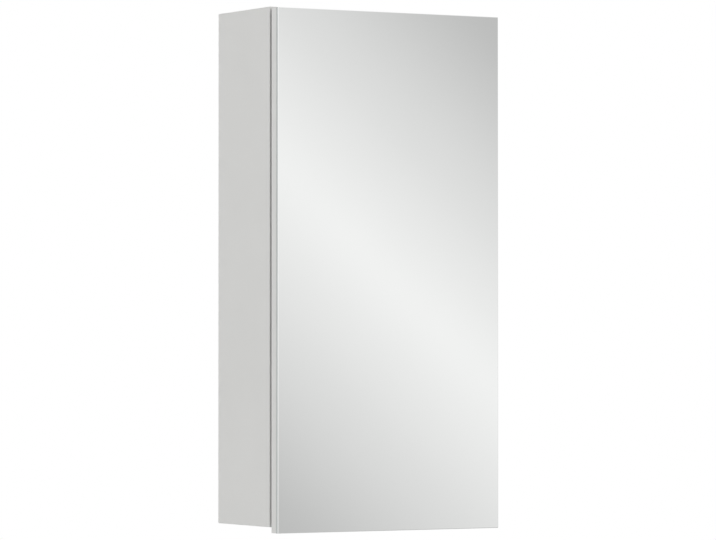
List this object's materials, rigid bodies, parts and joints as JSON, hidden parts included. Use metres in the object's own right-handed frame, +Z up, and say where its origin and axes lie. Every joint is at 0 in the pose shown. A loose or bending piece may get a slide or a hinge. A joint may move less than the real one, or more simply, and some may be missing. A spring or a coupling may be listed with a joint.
{
  "type": "mirror cabinet",
  "caption": "Tall narrow wall cabinet with a full-size mirror door on concealed cup hinges, glass shelves inside and steel hanging brackets.",
  "frame": {"origin": "middle of the rear face of the carcass, on the wall", "axes": "+Y into the wall, the door faces -Y, +X to the right seen from the front, +Z up"},
  "size_m": [0.32, 0.1564, 0.652],
  "materials": {
    "white_board": "chipboard coated with matt white melamine paper, raw on the rear edges",
    "edge_band": "matt white plastic edge band",
    "hardboard": "thin hardboard, brown at the back and painted white inside",
    "zinc_screw": "zinc plated steel",
    "die_cast_zinc": "dull die-cast zinc",
    "white_plastic": "matt white plastic",
    "beech": "plain beech",
    "zinc_steel": "zinc plated sheet steel",
    "shelf_glass": "clear float glass with ground green edges",
    "nickel": "nickel plated steel",
    "pin_steel": "bright spring steel",
    "foam_tape": "dark grey double-sided mirror tape",
    "mirror": "silvered float glass",
    "clear_silicone": "clear soft silicone"
  },
  "bodies": {
    "cabinet": {"left_side_panel": "white_board", "right_side_panel": "white_board", "top_panel": "white_board", "bottom_panel": "white_board", "back_panel": "hardboard", "back_panel_screws": "zinc_screw", "carcass_edge_bands": "edge_band", "cam_locks": "die_cast_zinc", "cam_bolts": "zinc_screw", "cam_covers": "white_plastic", "dowels": "beech", "left_hanging_bracket": "zinc_steel", "right_hanging_bracket": "zinc_steel", "hanging_bracket_screws": "zinc_screw", "upper_shelf": "shelf_glass", "lower_shelf": "shelf_glass", "upper_shelf_pins": "nickel", "lower_shelf_pins": "nickel", "upper_mounting_plate": "nickel", "lower_mounting_plate": "nickel", "mounting_plate_screws": "zinc_screw", "upper_hinge_arm": "nickel", "lower_hinge_arm": "nickel", "arm_fixing_screws": "zinc_screw", "arm_adjusting_screws": "zinc_screw"},
    "door": {"door_board": "white_board", "door_edge_bands": "edge_band", "mirror_tapes": "foam_tape", "mirror_glass": "mirror", "upper_hinge_cup": "nickel", "lower_hinge_cup": "nickel", "hinge_pins": "pin_steel", "cup_springs": "pin_steel", "cup_screws": "zinc_screw", "door_buffers": "clear_silicone"}
  },
  "joints": [
    {"name": "door_hinge", "type": "hinge", "parent": "cabinet", "child": "door", "pos_m": [0.1522, -0.1464, -0.0045], "axis": [0, 0, 1], "range_deg": [0, 95]}
  ]
}
